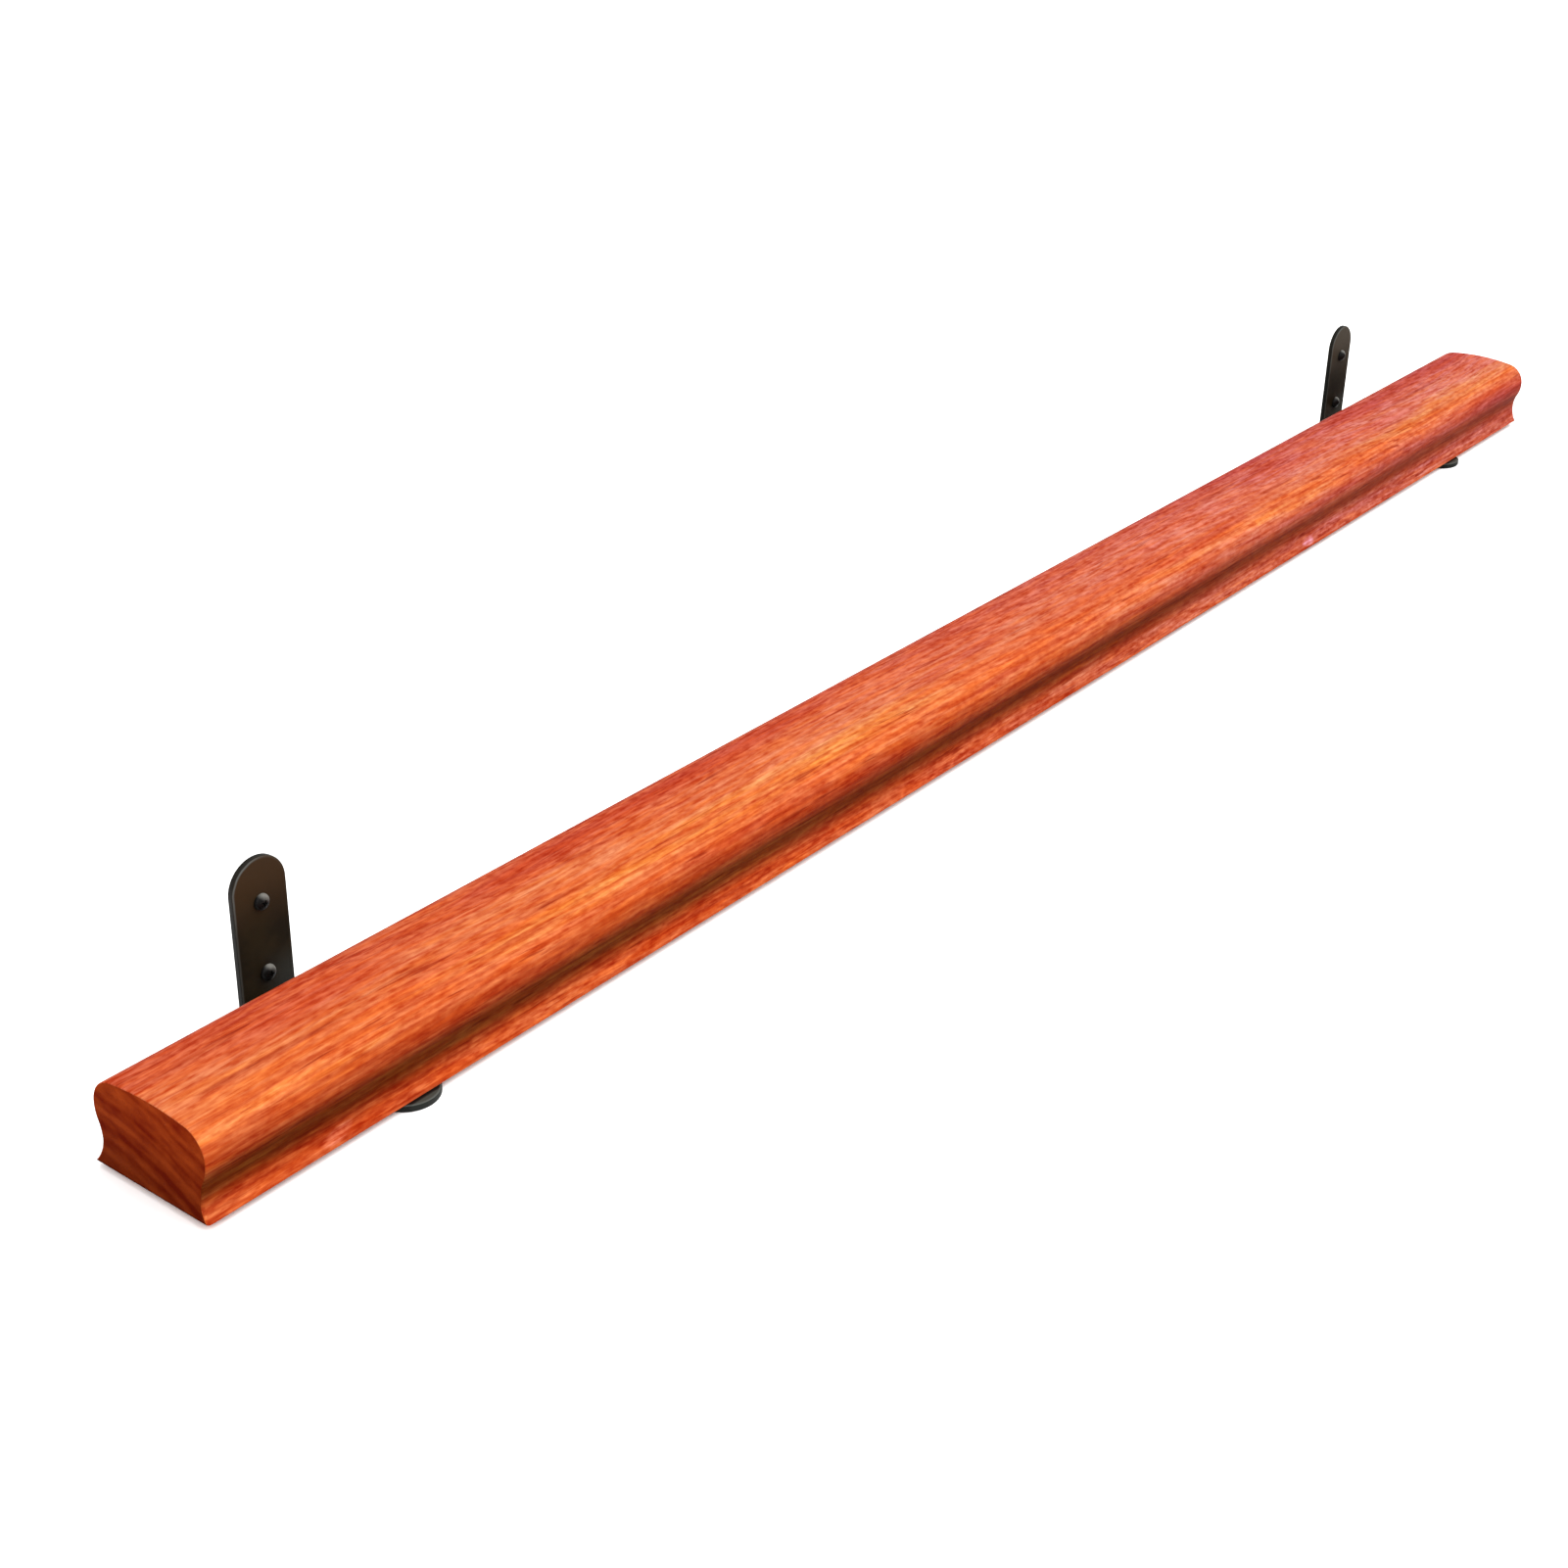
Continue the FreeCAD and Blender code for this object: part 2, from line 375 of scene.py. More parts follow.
def railSection(shape, height):
    baseHalf = shape["baseWidth"] / 2
    waistHalf = baseHalf - shape["waistDepth"]
    crownHalf = baseHalf + shape["crownOverhang"]
    shoulder = shape["shoulderRadius"]
    drop = shoulder + shape["domeRise"]
    crownHeight = height - drop
    waist = shape["waistHeight"]
    cove = (waist ** 2 + shape["waistDepth"] ** 2) / (2 * shape["waistDepth"])
    swell = crownHalf - waistHalf
    climb = crownHeight - waist
    ogee = (swell ** 2 + climb ** 2) / (4 * swell)
    middle = crownHalf - shoulder
    dome = (middle ** 2 + drop ** 2 - shoulder ** 2) / (2 * shape["domeRise"])
    footTurn = math.atan2(waist, cove - shape["waistDepth"])
    ogeeTurn = math.asin(climb / 2 / ogee)
    domeTurn = math.atan2(dome - drop, middle)
    ease = shape["arrisRadius"]
    arcs = [    # centre, radius, first and last angle, from the base to the top line
        ((baseHalf - ease, ease), ease, -math.pi / 2, -footTurn),
        ((waistHalf + cove, waist), cove, math.pi + footTurn * shape["coveShare"], math.pi),
        ((waistHalf + ogee, waist), ogee, math.pi, math.pi - ogeeTurn),
        ((crownHalf - ogee, crownHeight), ogee, -ogeeTurn, 0.0),
        ((middle, crownHeight), shoulder, 0.0, domeTurn),
        ((0.0, height - dome), dome, domeTurn, math.pi / 2),
    ]
    half = []
    for (across, up), radius, start, end in arcs:
        count = max(shape["arcSteps"], math.ceil(math.degrees(abs(end - start)) / shape["arcStep"]))
        for step in range(count + 1):
            turn = start + (end - start) * step / count
            point = Vector((across + radius * math.cos(turn), up + radius * math.sin(turn)))
            if not half or (point - half[-1]).length > shape["pointGap"]:
                half.append(point)
    half[-1].x = 0.0
    backHalf = []
    for point in reversed(half[:-1]):
        low = max(0.0, 1.0 - point.y / shape["backFlareTop"])
        flare = shape["backFlare"] * low ** shape["backFlareCurve"]
        backHalf.append(Vector((-point.x - flare, point.y)))
    return half + backHalf


def inwardTurns(points):
    found = []
    for index in range(len(points)):
        along = points[(index + 1) % len(points)] - points[index - 1]
        found.append(Vector((-along.y, along.x)).normalized())
    return found


def lipWear(shape, point):
    if point.x < 0.0 or point.y > shape["lipTop"]:
        return 0.0
    share = min(1.0, 2.0 * (1.0 - point.y / shape["lipTop"]))    # full over the lower half, then eased out
    return (shape["lipEasing"] - shape["endEasing"]) * share * share * (3.0 - 2.0 * share)


def railMesh(shape):
    low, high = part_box("rail")
    middle = (low.y + high.y) / 2
    section = railSection(shape, high.z - low.z)
    inwards = inwardTurns(section)
    bm = bmesh.new()

    def endLoop(turn, left):
        loop = []
        for point, inward in zip(section, inwards):
            ease = shape["endEasing"] if left else shape["rightEasing"]
            wear = lipWear(shape, point) if left else 0.0
            back = 1.0 - math.sin(turn)
            across = point + inward * ease * back - Vector((wear * back, 0.0))
            along = (ease + wear) * (1.0 - math.cos(turn))
            if left:
                x = low.x + along + shape["leftLean"] * across.y
            else:
                x = high.x - along
            loop.append(bm.verts.new((x, middle - across.x, low.z + across.y)))
        return loop

    turns = [math.pi / 2 * step / shape["easingSteps"] for step in range(shape["easingSteps"] + 1)]
    loops = [endLoop(turn, True) for turn in turns]
    start = low.x + shape["endRun"]
    end = high.x - shape["endRun"]
    for step in range(shape["lengthSteps"] + 1):
        x = start + (end - start) * step / shape["lengthSteps"]
        loops.append([bm.verts.new((x, middle - point.x, low.z + point.y)) for point in section])
    loops += [endLoop(turn, False) for turn in reversed(turns)]
    for first, second in zip(loops, loops[1:]):
        joinLoops(bm, first, second)
    for loop in (loops[0], loops[-1]):
        cap = bm.faces.new(loop)
        cap.material_index = 1
    mesh = meshFrom(bm, "railLength")
    smoothOver(mesh, shape["sharpFrom"])
    return mesh


def growthBands(desk, place, bands, railMiddle):
    tilt = math.radians(bands["tilt"])
    pithY = railMiddle + bands["pithDepth"] * math.sin(tilt)
    pithZ = -bands["pithDepth"] * math.cos(tilt)
    _, y, z = desk.parts(place)
    radius = desk.math("SQRT", desk.squares(desk.minus(y, pithY), desk.minus(z, pithZ)))
    radius = desk.total(radius, (desk.grain(place, *bands["driftField"]), bands["drift"]))
    made = desk.add("ShaderNodeTexNoise", {
        "W": desk.math("DIVIDE", radius, bands["width"]), "Scale": bands["scale"],
        "Detail": bands["detail"], "Roughness": bands["rough"]}, noise_dimensions="1D")
    return made.outputs[0]


def grainFlow(desk, place, wood):
    # lets the grain lines wander sideways as they run
    x, y, z = desk.parts(place)
    wander = desk.grain(place, *wood["wanderField"])
    return desk.joined(x, desk.total(y, (x, wood["runOut"]), (wander, wood["wander"])), z)


def railPlaces(desk, wood, low, high):
    # where a point lies on the rail, and the masks that several layers share
    place = desk.place()
    x, y, z = desk.parts(place)
    lean = desk.minus(y, (low.y + high.y) / 2)
    up = desk.minus(z, low.z)
    reach = desk.math("ADD", desk.math("ABSOLUTE", lean), desk.minus(high.z, z))
    skin = desk.times(desk.math("SIGN", lean), reach)
    aboveBase = desk.spread(up, *wood["aboveBase"])
    behind = desk.spread(skin, *wood["behind"])
    back = desk.times(behind, aboveBase)
    return {
        "place": place, "x": x, "lean": lean, "up": up, "skin": skin,
        "toRight": desk.spread(x, low.x, high.x, smooth=False),
        "aboveBase": aboveBase, "behind": behind, "back": back,
        "backAndBase": desk.math("MAXIMUM", back, desk.minus(1.0, aboveBase)),
    }


def woodColour(desk, wood, at, fields):
    warm = desk.spread(at["lean"], *wood["warmSideAndFrontLight"], smooth=False)
    warm = desk.total(warm, *((fields[name], share) for name, share in wood["warmShares"].items()))
    base = desk.ramp(desk.spread(warm, *wood["warmRange"], smooth=False),
                     [(0.0, wood["red"]), (0.50, wood["middle"]), (1.0, wood["orange"])])
    weave = desk.total(0.0, *((fields[name], share) for name, share in wood["fibreShares"].items()))
    weave = desk.nudge(0.5, weave, desk.spread(warm, *wood["fibreCalm"]))
    fibreTone = desk.mix(desk.spread(weave, *wood["fibreRange"], smooth=False),
                         wood["fibreDark"], wood["fibreLight"])
    base = desk.tint(1.0, base, fibreTone)
    base = desk.tint(1.0, base, desk.mix(desk.spread(fields["hue"], *wood["hueRange"]), *wood["hueTones"]))
    base = desk.mix(desk.times(fields["pores"], wood["poreShare"]), base, wood["pore"])
    return base, fibreTone


def addFigure(desk, figure, base, at, streaks):
    along = desk.math("WRAP", at["x"], figure["repeat"][1], figure["repeat"][0])
    along = desk.nudge(along, desk.grain(at["place"], *figure["warpField"]), figure["warp"])
    over = desk.nudge(at["skin"], desk.grain(at["place"], *figure["swayField"]), figure["sway"])
    broken = desk.times(desk.spread(streaks, *figure["broken"]), at["aboveBase"])
    for tone, middleX, middleSkin, halfLength, halfWidth in figure["patches"]:
        lengthShare = desk.math("DIVIDE", desk.minus(along, middleX * mm), halfLength * mm)
        widthShare = desk.math("DIVIDE", desk.minus(over, middleSkin * mm), halfWidth * mm)
        away = desk.squares(lengthShare, widthShare)
        mask = desk.times(desk.spread(away, *figure["edge"]), broken)
        base = desk.tint(mask, base, figure["tones"][tone])
    return base


def zoneTones(desk, wood, base, at, fields, fibreTone):
    x = at["x"]
    up = at["up"]
    skin = at["skin"]

    # front shoulder and the lines ruled along it, both on the back and the base too
    front = desk.math("MAXIMUM", desk.spread(skin, *wood["front"]), at["backAndBase"])
    base = desk.tint(front, base, desk.mix(at["toRight"], *wood["frontTones"]))
    ruling = desk.math("MAXIMUM", desk.spread(skin, *wood["ruling"]),
                       desk.times(at["backAndBase"], wood["ruling"][-1]))
    lineTone = desk.mix(desk.spread(fields["lines"], *wood["lineRange"]), *wood["lineTones"])
    base = desk.tint(ruling, base, lineTone)

    # painted pink sheen on top towards the right end, pinker under the front shoulder there too, and a
    # browner back
    farSheen = desk.spread(desk.total(x, (fields["patches"], wood["farSheenPatches"])), *wood["farSheenTurn"])
    farSheen = desk.times(farSheen, desk.spread(skin, *wood["farSheenFrom"]), desk.minus(1.0, at["behind"]))
    base = desk.tint(farSheen, base, wood["farPaintedSheen"])
    shoulder = desk.times(desk.spread(up, *wood["shoulderTop"]), desk.spread(up, *wood["shoulderFoot"]),
                          desk.spread(skin, *wood["shoulderFrom"]), desk.spread(x, *wood["shoulderTurn"]))
    base = desk.tint(shoulder, base, wood["shoulderBlush"])
    base = desk.tint(at["back"], base, wood["backTone"])

    # painted shade on the sides below the shoulders, then the lip along the base
    starts = desk.spread(at["toRight"], 0.0, 1.0, *wood["sideShadeStarts"], smooth=False)
    full = desk.spread(at["toRight"], 0.0, 1.0, *wood["sideShadeFull"], smooth=False)
    sideShade = desk.times(desk.spread(up, starts, full), desk.spread(up, *wood["sideShadeFoot"]))
    base = desk.tint(sideShade, base, desk.mix(desk.spread(x, *wood["sideShadeTurn"]), *wood["sideShadeTones"]))
    lip = desk.times(desk.spread(up, *wood["lipFrom"]), at["aboveBase"])
    base = desk.tint(lip, base, desk.mix(desk.spread(x, *wood["lipTurn"]), *wood["lipTones"]))
    return desk.tint(desk.times(lip, wood["lipFibre"]), base, fibreTone)


def hollowPaintedShade(desk, wood, base, at):
    # painted shade in the hollow under the crown, less towards the right end
    climbing = desk.total(at["up"], (at["x"], -wood["hollowShadeRise"]))
    fade = desk.ramp(at["toRight"], [(place, (share, share, share)) for place, share in wood["hollowShadeFade"]])
    hollowShade = desk.times(desk.spread(at["up"], *wood["hollowShadeTop"]),
                        desk.spread(climbing, *wood["hollowShadeFoot"]), fade)
    return desk.tint(hollowShade, base, desk.mix(desk.spread(at["x"], *wood["hollowShadeTurn"]), *wood["hollowShadeTones"]))


def woodSide(wood, figure, low, high):
    desk = NodeDesk("handrailWood")
    at = railPlaces(desk, wood, low, high)
    flow = grainFlow(desk, at["place"], wood)
    fields = {name: desk.grain(flow, *field) for name, field in wood["fields"].items()}
    fields["lines"] = desk.grain(at["place"], *wood["lineField"])
    fields["bands"] = growthBands(desk, at["place"], wood["bands"], (low.y + high.y) / 2)
    fields["back"] = at["back"]
    fields["pores"] = desk.times(desk.spread(fields["dashes"], *wood["poreDashes"]),
                                 desk.spread(fields["groups"], *wood["poreGroups"]))
    base, fibreTone = woodColour(desk, wood, at, fields)
    base = addFigure(desk, figure, base, at, fields["streaks"])
    base = zoneTones(desk, wood, base, at, fields, fibreTone)
    base = hollowPaintedShade(desk, wood, base, at)
    rough = desk.total(fields["fibre"], (fields["pores"], wood["poreRough"]))
    height = desk.minus(desk.times(fields["fibre"], wood["fibreHeight"]), fields["pores"])
    desk.surface(Base_Color=base, Roughness=desk.spread(rough, *wood["roughness"]),
                 Normal=desk.bump(height, *wood["bump"]), Specular_IOR_Level=wood["sheen"])
    return desk.material


def woodEnd(end, woodBands, low, high):
    desk = NodeDesk("handrailEndGrain")
    place = desk.place()
    x, y, z = desk.parts(place)
    bands = growthBands(desk, place, {**woodBands, **end["bands"]}, (low.y + high.y) / 2)
    alongBand = desk.joined(x, y, desk.total(z, (y, -end["lumpFall"])))
    tone = desk.nudge(bands, desk.grain(alongBand, *end["lumpField"]), end["lumps"])
    tone = desk.nudge(tone, desk.noise(place, *end["mottleField"]), end["mottle"])
    base = desk.ramp(desk.spread(tone, *end["toneRange"], smooth=False),
                     [(0.0, end["dark"]), (0.50, end["middle"]), (1.0, end["light"])])
    shade = desk.spread(desk.minus(z, low.z), *end["fade"], smooth=False)
    shades = desk.add("ShaderNodeCombineColor", {0: shade, 1: shade, 2: shade}).outputs[0]
    base = desk.tint(1.0, base, shades)
    pores = desk.spread(desk.grain(place, *end["poreField"]), *end["poreRange"])
    base = desk.mix(desk.times(pores, end["poreShare"]), base, end["pore"])
    sawCuts = desk.grain(place, *end["sawField"])
    height = desk.minus(desk.times(sawCuts, end["sawHeight"]), pores)
    desk.surface(Base_Color=base, Roughness=desk.spread(bands, *end["roughness"]),
                 Normal=desk.bump(height, *end["bump"]), Specular_IOR_Level=end["sheen"])
    return desk.material


railLow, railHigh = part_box("rail")
rail = makePiece("handrail", railMesh(handrail["shape"]), "rail_wood",
                 woodSide(handrail["wood"], handrail["figure"], railLow, railHigh),
                 woodEnd(handrail["endGrain"], handrail["wood"]["bands"], railLow, railHigh))
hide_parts("rail")
print("rail:", len(rail.data.polygons), "faces")


# brackets: flat bar drawn flat with its holes, then bent to the L

wallBracket = {
    "shape": {
        "thickness": 3.2 * mm,
        "bendRadius": 4.0 * mm,
        "edgeRadius": 0.7 * mm,
        "edgeSteps": 4,
        "endSteps": 40,              # segments round each half-round end
        "bendSteps": 14,
        "holeSteps": 40,
        "wallHoleLip": 0.25 * mm,
        "sinkDiameter": 7.8 * mm,    # countersinks for the rail screws, open to the underside of the foot
        "sinkDepth": 0.5 * mm,       # straight part, before the cone
        "shankHole": 4.2 * mm,
        "cutSnap": 1e-7,             # points this near to a cut count as on it
        "sharpFrom": 40,
    },
    # along the bar is from the toe, fromTop from the other end, across runs from -1 to 1 over its width
    "steel": {
        "bronze": (0.0165, 0.0112, 0.0050),
        "soot": (0.0062, 0.0047, 0.0030),
        "sootRange": (0.35, 0.68),
        # painted reflection of the rail: the top of the leg browner on the left, lighter on the right
        "tip": {"left": (0.0330, 0.0185, 0.0085), "right": (0.0460, 0.0390, 0.0285)},
        "tipFromTop": (40.0 * mm, 6.0 * mm, 0.0, 0.85),
        "tipSwing": 16.0 * mm,
        "paintedHighlight": (0.0260, 0.0275, 0.0230),      # painted sheen, a grey reflection low on the leg just above the rail
        "sheenHeight": (36.0 * mm, 20.0 * mm),
        "sheenAcross": (-0.3, 0.8),
        "sheenShare": 0.7,
        "toe": (0.0400, 0.0440, 0.0370),
        "toeAlong": (12.0 * mm, 4.0 * mm, 0.0, 0.9),
        "railShadow": (0.0060, 0.0042, 0.0036),       # painted shadow line where the rail meets the toe
        "railShadowFrom": (2.5 * mm, 3.7 * mm),
        "railShadowTo": (9.0 * mm, 6.0 * mm),
        "edge": (0.0060, 0.0066, 0.0060),        # painted shade on the sides of the bar
        "barSideShadeFrom": (0.28 * mm, 0.05 * mm, 0.0, 0.85),
        "wearHighlight": (0.066, 0.069, 0.064),           # worn strip with a painted highlight along the arris, measured in from the side
        "wearHighlightFrom": (0.10 * mm, 0.30 * mm),
        "wearHighlightTo": (1.3 * mm, 0.60 * mm),
        "wearHighlightSwing": 0.5 * mm,
        "wearHighlightAcross": (0.4, -0.5, 0.15, 1.0),    # less of it on the right-hand arris
        "wearHighlightFromTop": (34.0 * mm, 14.0 * mm, 0.40, 1.0),
        "wearHighlightToe": (40.0 * mm, 20.0 * mm, 0.0, 0.6),
        "cloudField": (38.0, 3.0, 0.6),          # scale, detail and roughness
        "grainField": (900.0, 2.0, 0.6),
        "chipField": (210.0, 4.0, 0.65),
        "glossShares": (0.6, 0.4),               # of clouds and grain
        "roughness": (0.3, 0.7, 0.36, 0.52),
        "bump": (0.02 * mm, 0.5),
        "specular": {"left": 0.07, "right": 0.02},
    },
}
wallHoles = {mount["name"].rsplit("_", 1)[1]: mount for mount in frame["record"]["mounts"]
             if mount["kind"] == "bolt_pattern"}


def barOutline(half, length, inset, steps):
    radius = half - inset
    points = []
    for centre, facing in ((length - half, 0.0), (half, math.pi)):
        for step in range(steps + 1):
            turn = facing - math.pi / 2 + math.pi * step / steps
            points.append((centre + radius * math.cos(turn), radius * math.sin(turn)))
    return points


def flatBar(shape, half, length, holes):
    thick = shape["thickness"]
    ease = shape["edgeRadius"]
    bm = bmesh.new()
    rim = []
    for step in range(shape["edgeSteps"] + 1):
        turn = math.pi / 2 * step / shape["edgeSteps"]
        rim.append((ease * (1 - math.sin(turn)), ease * (1 - math.cos(turn))))
    rim += [(inset, thick - up) for inset, up in reversed(rim)]
    loops = []
    for inset, up in rim:
        outline = barOutline(half, length, inset, shape["endSteps"])
        loops.append([bm.verts.new((u, v, up)) for u, v in outline])
    for first, second in zip(loops, loops[1:]):
        joinLoops(bm, first, second)

    under = [loops[0]]
    over = [loops[-1]]
    circle = [2 * math.pi * step / shape["holeSteps"] for step in range(shape["holeSteps"])]
    for place, profile in holes:
        walls = []
        for radius, up in profile:
            walls.append([bm.verts.new((place + radius * math.cos(turn), radius * math.sin(turn), up))
                          for turn in circle])
        for first, second in zip(walls, walls[1:]):
            joinLoops(bm, first, second)
        under.append(walls[0])
        over.append(walls[-1])
    for borders in (under, over):
        edges = []
        for loop in borders:
            for index, vert in enumerate(loop):
                edges.append(bm.edges.get((vert, loop[(index + 1) % len(loop)])))
        bmesh.ops.triangle_fill(bm, use_beauty=True, use_dissolve=False, edges=edges)
    return bm


def bracketMesh(shape, side):
    low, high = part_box(f"bracket_{side}")
    thick = shape["thickness"]
    outer = shape["bendRadius"] + thick
    half = (high.x - low.x) / 2
    middle = (low.x + high.x) / 2
    footRun = high.y - low.y - outer
    bendRun = math.pi / 2 * (outer - thick / 2)
    legRun = high.z - low.z - outer
    length = footRun + bendRun + legRun

    mount = wallHoles[side]
    radius = mount["dims"]["hole_r_mm"] * mm
    lip = shape["wallHoleLip"]
    wallHole = [(radius + lip, 0.0), (radius, lip), (radius, thick - lip), (radius + lip, thick)]
    sink = shape["sinkDiameter"] / 2
    shank = shape["shankHole"] / 2
    straight = shape["sinkDepth"]
    screwSeat = [(sink, 0.0), (sink, straight), (shank, straight + sink - shank), (shank, thick)]
    holes = []
    for share in (-0.5, 0.5):
        height = mount["pos_m"][2] + share * mount["dims"]["spacing_y_mm"] * mm
        holes.append((footRun + bendRun + height - outer, wallHole))
    for row in ("front", "back"):
        screwLow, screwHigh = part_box(f"rail_screw_{side}_{row}")
        holes.append(((screwLow.y + screwHigh.y) / 2 - low.y, screwSeat))
    bm = flatBar(shape, half, length, holes)
    for step in range(shape["bendSteps"] + 1):
        cut = Vector((footRun + bendRun * step / shape["bendSteps"], 0.0, 0.0))
        bmesh.ops.bisect_plane(bm, geom=bm.verts[:] + bm.edges[:] + bm.faces[:], plane_co=cut,
                               plane_no=(1.0, 0.0, 0.0), dist=shape["cutSnap"])

    along = [vert.co.x for vert in bm.verts]
    across = [vert.co.y / half for vert in bm.verts]
    for vert in bm.verts:
        u, v, w = vert.co
        if u <= footRun:
            vert.co = (middle + v, low.y + u, low.z + w)
        elif u >= footRun + bendRun:
            vert.co = (middle + v, high.y - w, low.z + outer + u - footRun - bendRun)
        else:
            turn = (u - footRun) / bendRun * math.pi / 2
            y = high.y - outer + (outer - w) * math.sin(turn)
            z = low.z + outer - (outer - w) * math.cos(turn)
            vert.co = (middle + v, y, z)
    mesh = meshFrom(bm, f"flatBar_{side}")
    for name, values in (("barAlong", along), ("barAcross", across)):
        mesh.attributes.new(name, "FLOAT", "POINT").data.foreach_set("value", values)
    smoothOver(mesh, shape["sharpFrom"])
    return mesh, length, half


def bracketSteel(steel, side, length, half):
    desk = NodeDesk(f"bracketBronze_{side}")
    place = desk.place()
    along = desk.attribute("barAlong")
    across = desk.attribute("barAcross")
    fromTop = desk.minus(length, along)
    fromMiddle = desk.math("ABSOLUTE", desk.minus(along, length / 2))
    past = desk.math("MAXIMUM", desk.minus(fromMiddle, length / 2 - half), 0.0)
    fromEdge = desk.minus(half, desk.math("SQRT", desk.squares(past, desk.times(across, half))))
    cloud = desk.noise(place, *steel["cloudField"])
    grain = desk.noise(place, *steel["grainField"])
    chips = desk.noise(place, *steel["chipField"])

    # bronze, a painted reflection of the rail on the top of the leg, a painted grey sheen low down, greyer at
    # the toe
    base = desk.mix(desk.spread(cloud, *steel["sootRange"]), steel["bronze"], steel["soot"])
    cloudyTop = desk.nudge(fromTop, cloud, -steel["tipSwing"])
    base = desk.mix(desk.spread(cloudyTop, *steel["tipFromTop"]), base, steel["tip"][side])
    paintedHighlight = desk.times(desk.spread(desk.parts(place)[2], *steel["sheenHeight"]),
                        desk.spread(across, *steel["sheenAcross"]), steel["sheenShare"])
    base = desk.mix(paintedHighlight, base, steel["paintedHighlight"])
    base = desk.mix(desk.spread(along, *steel["toeAlong"]), base, steel["toe"])
    railShadow = desk.times(desk.spread(along, *steel["railShadowFrom"]), desk.spread(along, *steel["railShadowTo"]))
    base = desk.mix(railShadow, base, steel["railShadow"])

    # painted shade on the sides, and a worn strip with a painted highlight along the arris, brightest round
    # the top and at the toe
    base = desk.mix(desk.spread(fromEdge, *steel["barSideShadeFrom"]), base, steel["edge"])
    ragged = desk.nudge(fromEdge, chips, steel["wearHighlightSwing"])
    rim = desk.times(desk.spread(ragged, *steel["wearHighlightFrom"]), desk.spread(ragged, *steel["wearHighlightTo"]))
    share = desk.times(desk.spread(across, *steel["wearHighlightAcross"]), desk.spread(fromTop, *steel["wearHighlightFromTop"]))
    share = desk.math("MAXIMUM", share, desk.spread(along, *steel["wearHighlightToe"]))
    base = desk.mix(desk.times(rim, share), base, steel["wearHighlight"])

    cloudShare, grainShare = steel["glossShares"]
    gloss = desk.total(0.0, (cloud, cloudShare), (grain, grainShare))
    desk.surface(Base_Color=base, Roughness=desk.spread(gloss, *steel["roughness"]),
                 Normal=desk.bump(grain, *steel["bump"]), Specular_IOR_Level=steel["specular"][side])
    return desk.material


for side in ("left", "right"):
    mesh, length, half = bracketMesh(wallBracket["shape"], side)
    steel = bracketSteel(wallBracket["steel"], side, length, half)
    bracket = makePiece(f"wallBracket_{side}", mesh, "bracket_steel", steel)
    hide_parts(f"bracket_{side}")
    weigh = bracket.modifiers.new("flatFaces", "WEIGHTED_NORMAL")
    weigh.keep_sharp = True
    print("bracket", side + ":", len(mesh.polygons), "faces")


# wall screws: domed heads with a cross recess, threaded shank in the wall hole

wallScrew = {
    "shape": {
        "headDiameter": 7.6 * mm,
        "headHeight": 2.9 * mm,
        "headRim": 0.40 * mm,
        "seatEasing": (0.25 * mm, 0.20 * mm),    # edge of the head at the seat, in and up
        "crownSteps": 15,
        "shank": 4.2 * mm,
        "neckShare": 0.98,
        "core": 3.2 * mm,
        "pitch": 1.4 * mm,
        "ridgeSlope": 3.2,
        "threadRows": 60,
        "shortOfWall": 0.3 * mm,
        "slot": 0.85 * mm,
        "slotSpan": 3.6 * mm,
        "slotDepth": 1.5 * mm,
        "slotFlare": 1.12,                       # wider at the mouth
        "slotFloor": 0.48,                       # and narrower at the bottom
        "cutterOver": 0.5 * mm,
        "segments": 64,
        "sharpFrom": 35,
    },
    # degrees, each head stops at its own angle
    "drive": {"left": {"lower": 90, "upper": 23}, "right": {"lower": 46, "upper": 69}},
    "steel": {
        "black": (0.0035, 0.0032, 0.0030),
        # painted highlight on the upper right of each black head
        "paintedHighlight": (0.118, 0.114, 0.102),
        "highlightAim": (0.6, 0.8),                    # to the right and up
        "highlightFrom": (0.20, 0.92),                 # share of the head's radius that way
        "highlightSwing": 0.5,
        "cloudField": (320.0, 3.0, 0.6),
        "grainField": (2200.0, 2.0, 0.5),
        "roughness": (0.3, 0.7, 0.34, 0.46),
        "bump": (0.008 * mm, 0.3),
        "specular": 0.09,
    },
}


